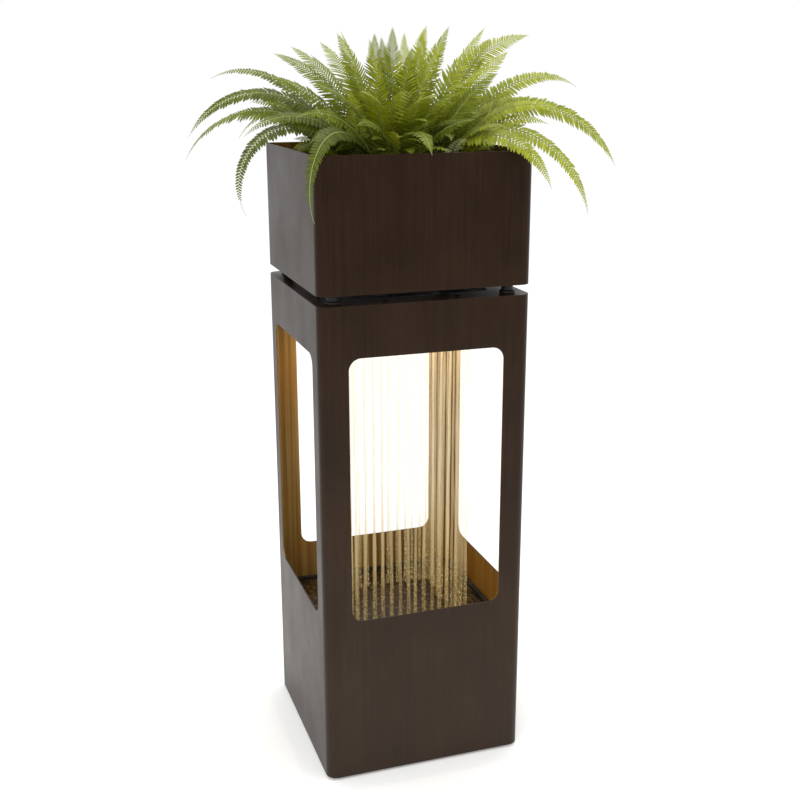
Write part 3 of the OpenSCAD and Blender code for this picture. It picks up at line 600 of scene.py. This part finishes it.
OUTER = [(165, 270, 60, 90, .35, .1, 2.0), (185, 320, 65, 125, .20, 0, 1.2),
         (205, 330, 35, 160, .10, .1, 1.8), (230, 330, 30, 160, .10, -.1, 2.0),
         (265, 190, 45, 90, .40, 0, 1.3), (305, 260, 40, 110, .80, .1, 1.2),
         (320, 330, 60, 140, .80, 0, .8), (345, 360, 65, 130, .75, .1, .9),
         (5, 310, 45, 80, .80, 0, 2.4), (30, 320, 50, 100, .60, -.1, 1.3),
         (55, 270, 50, 110, .55, .1, 1.3), (80, 210, 50, 100, .50, 0, 1.3),
         (105, 220, 50, 100, .45, .1, 1.3), (130, 280, 50, 105, .40, -.1, 1.3),
         (150, 330, 45, 110, .40, .1, 1.3)]
# Fronds with their own foot: x, y, heading, length, pitch, turn, brightness, width.
FREE = [(20, -60, 150, 190, 80, -10, 1.0, 65), (-70, -60, 195, 230, 50, 90, .25, 45),
        (-20, 20, 170, 180, 80, 20, .65, 55), (10, 40, 100, 190, 85, 10, .55, 55),
        (80, 0, 10, 210, 75, 30, .70, 75), (-60, -40, 185, 210, 60, 50, .40, 50),
        (50, 40, 30, 200, 85, 5, .70, 55), (60, -50, 350, 200, 70, 35, .95, 75),
        (-40, -70, 205, 190, 65, 60, .35, 50), (0, -80, 300, 150, 70, 60, .60, 50),
        (90, -60, 320, 210, 60, 90, .80, 50), (-85, -20, 180, 220, 50, 75, .30, 45),
        (-80, -70, 190, 165, 50, 70, .25, 45), (-70, -85, 215, 150, 50, 85, .20, 45),
        (-90, 20, 170, 170, 60, 65, .40, 45), (-60, -90, 200, 170, 60, 80, .45, 45),
        (-30, -95, 225, 140, 60, 80, .35, 45), (85, -85, 335, 160, 55, 80, .85, 45),
        (95, -30, 350, 175, 60, 65, .80, 50), (100, 20, 10, 180, 60, 60, .70, 50),
        (70, -95, 300, 130, 60, 85, .70, 40), (90, 60, 30, 190, 60, 60, .60, 50),
        (-90, 60, 155, 190, 60, 60, .40, 50), (40, -90, 345, 165, 70, 40, .50, 60)]
# Small fronds at the front rim, in the same terms.
RIM = [(60, -104, 275, 66, 66, 70, 1.45, 46), (84, -92, 292, 90, 64, 60, .95, 40),
       (10, -100, 262, 84, 66, 62, .85, 38), (-30, -98, 250, 92, 62, 70, .80, 40),
       (112, -70, 300, 96, 60, 62, .85, 42)]
LEAN = 0.60             # how far fronds that head sideways turn their upper face to the front

def frond_mesh(name, table, r0, z0, wide, pitch, seed, fill, free=()):
    """One ring of fronds with the short ones that fill it and those with their own foot."""
    pile = Pile()
    foot = CROWN_Z + z0 * MM

    def turned(roll, az):
        return roll + LEAN * math.cos(math.radians(az))

    for k, (az, ln, up, dr, tone, roll, *bend) in enumerate(table):
        narrow = 0.75 if 150 < az < 235 and up < 77 and wide > 0.05 else 1.0
        add_frond(pile, az, ln * MM, up, dr, r0 * MM, foot, tone, wide * narrow, turned(roll, az),
                  seed + k, pitch, bend=(bend or [BEND])[0])
    for k, (x, y, az, ln, up, dr, tone, w) in enumerate(free):
        add_frond(pile, az, ln * MM, up, dr, 0, foot, tone, w * MM, turned(0.1 * math.sin(k * 1.9), az),
                  seed + 30 + k, 0.0068 if w > 50 else 0.0088, base=(x * MM, y * MM))
    for k, (x, y, az, ln, up, dr, tone, w) in enumerate(fill):
        add_frond(pile, az, ln * MM, up, dr, 0, foot - 0.002, tone, w * MM,
                  turned(0.3 * math.sin(k * 1.7), az), seed + 60 + k, 0.0066,
                  sway=0.10 * math.sin(k * 2.3), base=(x * MM, y * MM))
    return pile.build(name, [M["leaf"], M["stem"]], "plant")

def filler(count, r_in, r_out, lens, ups, drops, tones, widths, seed):
    """Short fronds all over a ring of the clump, leaning outwards."""
    r = np.random.default_rng(seed)
    out = []
    for k in range(count):
        a = k * GOLDEN + seed
        rad = math.sqrt(r_in ** 2 + (r_out ** 2 - r_in ** 2) * (k + 0.5) / count)
        out.append((rad * math.cos(a), rad * math.sin(a), math.degrees(a) + r.uniform(-45, 45),
                    r.uniform(*lens), r.uniform(*ups), r.uniform(*drops), r.uniform(*tones),
                    r.uniform(*widths)))
    return out

fill_in = filler(20, 4, 44, (95, 130), (60, 84), (20, 70), (.35, 1.25), (44, 60), 1)
fill_mid = filler(34, 40, 84, (90, 140), (46, 76), (35, 95), (.25, 1.25), (42, 60), 2)
fill_out = filler(44, 74, 100, (70, 115), (36, 70), (40, 105), (.15, 1.2), (34, 50), 3) + RIM
fi = frond_mesh("fern_inner", INNER, 26, 8.8, 0.070, 0.0066, 100, fill_in)
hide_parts("fern_fronds_inner")
fm = frond_mesh("fern_middle", MIDDLE, 52, 6.5, 0.080, 0.0072, 200, fill_mid, FREE)
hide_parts("fern_fronds_middle")
fo = frond_mesh("fern_outer", OUTER, 80, 4.2, 0.056, 0.0084, 300, fill_out)
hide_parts("fern_fronds_outer")

# crown: old stalk bases and fibres round the rhizome
FIBRES, CROWN_R = 420, 0.088
pile = Pile()
for k in range(FIBRES):
    a = k * GOLDEN
    r = CROWN_R * math.sqrt((k + 0.5) / FIBRES)
    top = 0.5 + 0.5 * noise.noise(Vector((k * 0.37, 0, 0)))
    z = CROWN_Z + 0.0030 + 0.005 * (1 - r / CROWN_R)
    h = 0.008 + 0.014 * top
    base = np.array([r * math.cos(a), r * math.sin(a), z - 0.002])
    lean = np.array([math.cos(a) * (0.15 + 4 * r), math.sin(a) * (0.15 + 4 * r), 1.0])
    lean /= np.linalg.norm(lean)
    pts = [base + lean * h * q + np.array([0, 0, -0.12 * h * q * q]) for q in (0, .35, .7, 1.0)]
    v, f = tube(pts, [0.0021, 0.0018, 0.0013, 0.0004], 6)
    pile.add(v, f, 0, tone=0.2)
pile.build("crown_fibres", [M["fibre"]], "plant")

MOUND = 0.0088          # the soil stands this much higher in the middle
SOIL_EDGE = CROWN_Z - 0.0096

def soil():
    """A crumbly surface that fills the liner."""
    lo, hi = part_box("potting_soil")
    n = 90                  # cells along a side
    half = hi.x - 0.0002    # a hair inside the liner
    corner = 0.0118         # the liner's inner corner radius
    pts, faces = [], []
    for j in range(n + 1):
        for i in range(n + 1):
            x, y = half * (2 * i / n - 1), half * (2 * j / n - 1)
            # pull the corners in to the liner's round corners
            cx, cy = max(abs(x) - (half - corner), 0), max(abs(y) - (half - corner), 0)
            d = math.hypot(cx, cy)
            if d > corner:
                k = corner / d
                x = math.copysign(half - corner + cx * k, x)
                y = math.copysign(half - corner + cy * k, y)
            q = max(abs(x), abs(y)) / half
            z = SOIL_EDGE + MOUND * (1 - q ** 2.2)
            v = Vector((x * 60, y * 60, 0))
            z += 0.0016 * noise.noise(v) + 0.0011 * noise.noise(v * 3.1) - 0.0012
            pts.append((x, y, min(z, hi.z)))
    for j in range(n):
        for i in range(n):
            a = j * (n + 1) + i
            faces.append((a, a + 1, a + n + 2, a + n + 1))
    # the rim of the grid, side by side, goes down as a wall and is closed below
    ring = list(range(n + 1)) + [j * (n + 1) + n for j in range(1, n + 1)] \
        + [n * (n + 1) + i for i in range(n - 1, -1, -1)] + [j * (n + 1) for j in range(n - 1, 0, -1)]
    base = len(pts)
    for i in ring:
        pts.append((pts[i][0], pts[i][1], lo.z))
    k = len(ring)
    for i in range(k):
        a, b = ring[i], ring[(i + 1) % k]
        faces.append((b, a, base + i, base + (i + 1) % k))
    faces.append(tuple(base + i for i in range(k)))
    pile = Pile()
    pile.add(pts, faces, 0, tone=0.0)
    ob = pile.build("soil_bed", [M["soil"]], "plant")
    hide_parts("potting_soil")

soil()

def chips():
    """Bark chips: small squashed icosahedra strewn over the soil, outside the crown."""
    pile = Pile()
    half, clear = 0.1638, 0.089     # half the soil's width, and the crown's reach
    ico = [(0, 0, 1), (.89, 0, .45), (.28, .85, .45), (-.72, .53, .45), (-.72, -.53, .45),
           (.28, -.85, .45), (.72, .53, -.45), (-.28, .85, -.45), (-.89, 0, -.45), (-.28, -.85, -.45),
           (.72, -.53, -.45), (0, 0, -1)]
    tri = [(0, 1, 2), (0, 2, 3), (0, 3, 4), (0, 4, 5), (0, 5, 1),
           (1, 6, 2), (2, 7, 3), (3, 8, 4), (4, 9, 5), (5, 10, 1),
           (6, 7, 2), (7, 8, 3), (8, 9, 4), (9, 10, 5), (10, 6, 1),
           (6, 11, 7), (7, 11, 8), (8, 11, 9), (9, 11, 10), (10, 11, 6)]
    ico = np.array(ico)
    r = np.random.default_rng(3)
    for k in range(700):
        x, y = r.uniform(-0.157, 0.157, 2)
        if math.hypot(x, y) < clear:
            continue
        q = max(abs(x), abs(y)) / half
        z = SOIL_EDGE + MOUND * (1 - q ** 2.2) + 0.0002
        size = np.array([r.uniform(.8, 1), r.uniform(.4, .8), r.uniform(.25, .5)])
        size = size * r.uniform(0.0012, 0.0042)
        v = ico * size * r.uniform(0.8, 1.15, (12, 1))
        a, b = r.uniform(0, TURN), r.uniform(-0.5, 0.5)
        rz = np.array([[math.cos(a), -math.sin(a), 0], [math.sin(a), math.cos(a), 0], [0, 0, 1]])
        rx = np.array([[1, 0, 0], [0, math.cos(b), -math.sin(b)], [0, math.sin(b), math.cos(b)]])
        pile.add(v @ (rz @ rx).T + np.array([x, y, z]), tri, 0, tone=r.uniform(0, 1))
    pile.build("bark_chips", [M["soil"]], "plant", smooth=False)

chips()

# ------------------------------------------------------------------ water
noz_lo, noz_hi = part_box("rain_nozzles")
POOL_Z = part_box("basin")[1].z - 0.006
RING = noz_hi.x - 0.003         # half the side of the square of streams
COUNT = 14                      # streams on a side, corners counted
TOP = noz_lo.z - 0.0005

def ring_points():
    """Where the streams leave, side by side round the square."""
    out = []
    step = 2 * RING / (COUNT - 1)
    for q in range(4):
        c, s = (1, 0, -1, 0)[q], (0, 1, 0, -1)[q]
        for i in range(COUNT - 1):
            x, y = -RING + i * step, -RING
            out.append((x * c - y * s, x * s + y * c))
    return out

def streams():
    """One rope of water from each nozzle to the pool. Returns where they land."""
    pile = Pile()
    r = np.random.default_rng(21)
    land = []
    height = TOP - POOL_Z
    s = np.linspace(0, 1, 211)
    for x, y in ring_points():
        lean = r.normal(0, 0.0022, 2)
        w1, w2 = r.uniform(0, TURN, 2)
        z = TOP - s * height
        px = x + lean[0] * s + 0.0004 * np.sin(z * 35 + w1) * s
        py = y + lean[1] * s + 0.0004 * np.sin(z * 28 + w2) * s
        # a smooth rope that slowly widens, and breaks into ripples near the pool
        fat = r.uniform(0.85, 1.15)
        rough = np.clip((s - 0.45) / 0.5, 0, 1) ** 1.3
        rip = np.sin(z * 1150 + w1 + 2.0 * np.sin(z * 160 + w2)) + 0.7 * np.sin(z * 620 + w2 * 3)
        rad = (0.0022 + 0.0016 * s ** 1.3) * fat + 0.00025 * np.sin(z * 50 + w2) + 0.00035 * rough * rip
        rad = np.clip(rad, 0.0012, 0.0048)
        v, f = tube(np.stack([px, py, z], 1), rad, 8)
        pile.add(v, f, 0)
        land.append((px[-1], py[-1]))
    pile.build("rain_streams", [M["stream"]], "tower")
    return land

LAND = streams()

def pool():
    """The water's surface in the basin, with rings round each stream's foot."""
    half, corner = 0.1597, 0.0197
    n = 150                 # cells along a side
    xs = np.linspace(-half, half, n + 1)
    X, Y = np.meshgrid(xs, xs)
    cx, cy = np.maximum(np.abs(X) - (half - corner), 0), np.maximum(np.abs(Y) - (half - corner), 0)
    d = np.hypot(cx, cy)
    k = np.where(d > corner, corner / np.maximum(d, 1e-9), 1.0)
    X = np.where(d > corner, np.sign(X) * (half - corner + cx * k), X)
    Y = np.where(d > corner, np.sign(Y) * (half - corner + cy * k), Y)
    Z = np.zeros_like(X)
    r = np.random.default_rng(5)
    for lx, ly in LAND:
        dd = np.hypot(X - lx, Y - ly)
        Z += 0.00075 * np.cos(dd * 2 * math.pi / 0.0085 + r.uniform(0, TURN)) * np.exp(-dd / 0.011)
    Z += 0.0003 * np.sin(X * 170 + 2 * np.sin(Y * 60)) * np.sin(Y * 140 + 1.3)
    v = np.stack([X, Y, POOL_Z + Z], -1).reshape(-1, 3)
    f = [(a, a + 1, a + n + 2, a + n + 1) for j in range(n) for a in range(j * (n + 1), j * (n + 1) + n)]
    pile = Pile()
    pile.add(v, f, 0)
    pile.build("pool_surface", [M["pool"]], "tower")

pool()

def splashes():
    """Drops that jump up round each stream's foot."""
    pile = Pile()
    r = np.random.default_rng(9)
    sides, rings = 7, 4
    for lx, ly in LAND:
        for k in range(9):
            a, d = r.uniform(0, TURN), abs(r.normal(0.004, 0.0035))
            c = np.array([lx + d * math.cos(a), ly + d * math.sin(a),
                          POOL_Z + 0.0006 + abs(r.normal(0, 0.0045))])
            rad = r.uniform(0.0004, 0.0013)
            v = [c + np.array([0, 0, rad * 1.25])]
            for i in range(1, rings):
                th = math.pi * i / rings
                for j in range(sides):
                    ph = 2 * math.pi * j / sides
                    v.append(c + rad * np.array([math.sin(th) * math.cos(ph), math.sin(th) * math.sin(ph),
                                                 1.2 * math.cos(th)]))
            v.append(c - np.array([0, 0, rad * 1.25]))
            f = [(0, 1 + j, 1 + (j + 1) % sides) for j in range(sides)]
            for i in range(rings - 2):
                for j in range(sides):
                    p, q = 1 + i * sides + j, 1 + i * sides + (j + 1) % sides
                    f.append((p, p + sides, q + sides, q))
            last = len(v) - 1
            f += [(last, last - sides + (j + 1) % sides, last - sides + j) for j in range(sides)]
            pile.add(v, f, 0)
    pile.build("splash_drops", [M["stream"]], "tower")

splashes()

# ------------------------------------------------------------------ stage and light
def area(name, loc, size_x, size_y, energy, color):
    d = bpy.data.lights.new(name, "AREA")
    d.shape, d.size, d.size_y = "RECTANGLE", size_x, size_y
    d.energy, d.color = energy, color
    o = bpy.data.objects.new(name, d)
    bpy.context.scene.collection.objects.link(o)
    o.location = loc
    return o

# one warm bar under each LED lens, pointing down
led_lo, led_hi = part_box("led_lenses")
reach = led_hi.x - 0.0055
LONG, SHORT = 0.19, 0.010
for i, (dx, dy) in enumerate(((0, -1), (1, 0), (0, 1), (-1, 0))):
    o = area(f"bar_{i}", (dx * reach, dy * reach, led_lo.z - 0.0008), LONG if dy else SHORT,
             SHORT if dy else LONG, 0.36, (1.0, 0.82, 0.50))
    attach(o, "tower")

# the studio: name, place, what it points at, size, power in watts, colour
for name, loc, target, size, energy, color in (
        ("key", (-2.2, -2.6, 2.6), (0, 0, 0.6), 1.8, 40, (1, 0.99, 0.97)),
        ("fill", (2.4, -1.8, 1.8), (0, 0, 0.8), 2.2, 14, (1, 1, 1)),
        ("top", (0.2, 0.4, 3.2), (0, 0, 1.0), 2.0, 30, (1, 1, 0.98))):
    o = area(name, loc, size, size, energy, color)
    o.rotation_mode = "QUATERNION"
    o.rotation_quaternion = (Vector(target) - Vector(loc)).to_track_quat("-Z", "Y")

world = bpy.data.worlds.new("studio")
bpy.context.scene.world = world
world.use_nodes = True
bg = world.node_tree.nodes["Background"]
bg.inputs["Color"].default_value = (1, 1, 1, 1)
bg.inputs["Strength"].default_value = 1.0

bpy.ops.mesh.primitive_plane_add(size=30, location=(0, 0, 0))
floor = bpy.context.active_object
floor.name = "floor"
m, t, b = new_mat("floor_pale")
o = coords(t)
pale = mix_rgb(t, noise_tex(t, o, 3.0, 3.0), (0.90, 0.90, 0.895), (0.93, 0.93, 0.925))
wire(t, b, Base_Color=pale, Roughness=0.9, Emission_Color=(1.0, 1.0, 1.0, 1.0))
b.inputs["Emission Strength"].default_value = 0.12
floor.data.materials.append(m)
bpy.context.scene.view_settings.view_transform = "Standard"
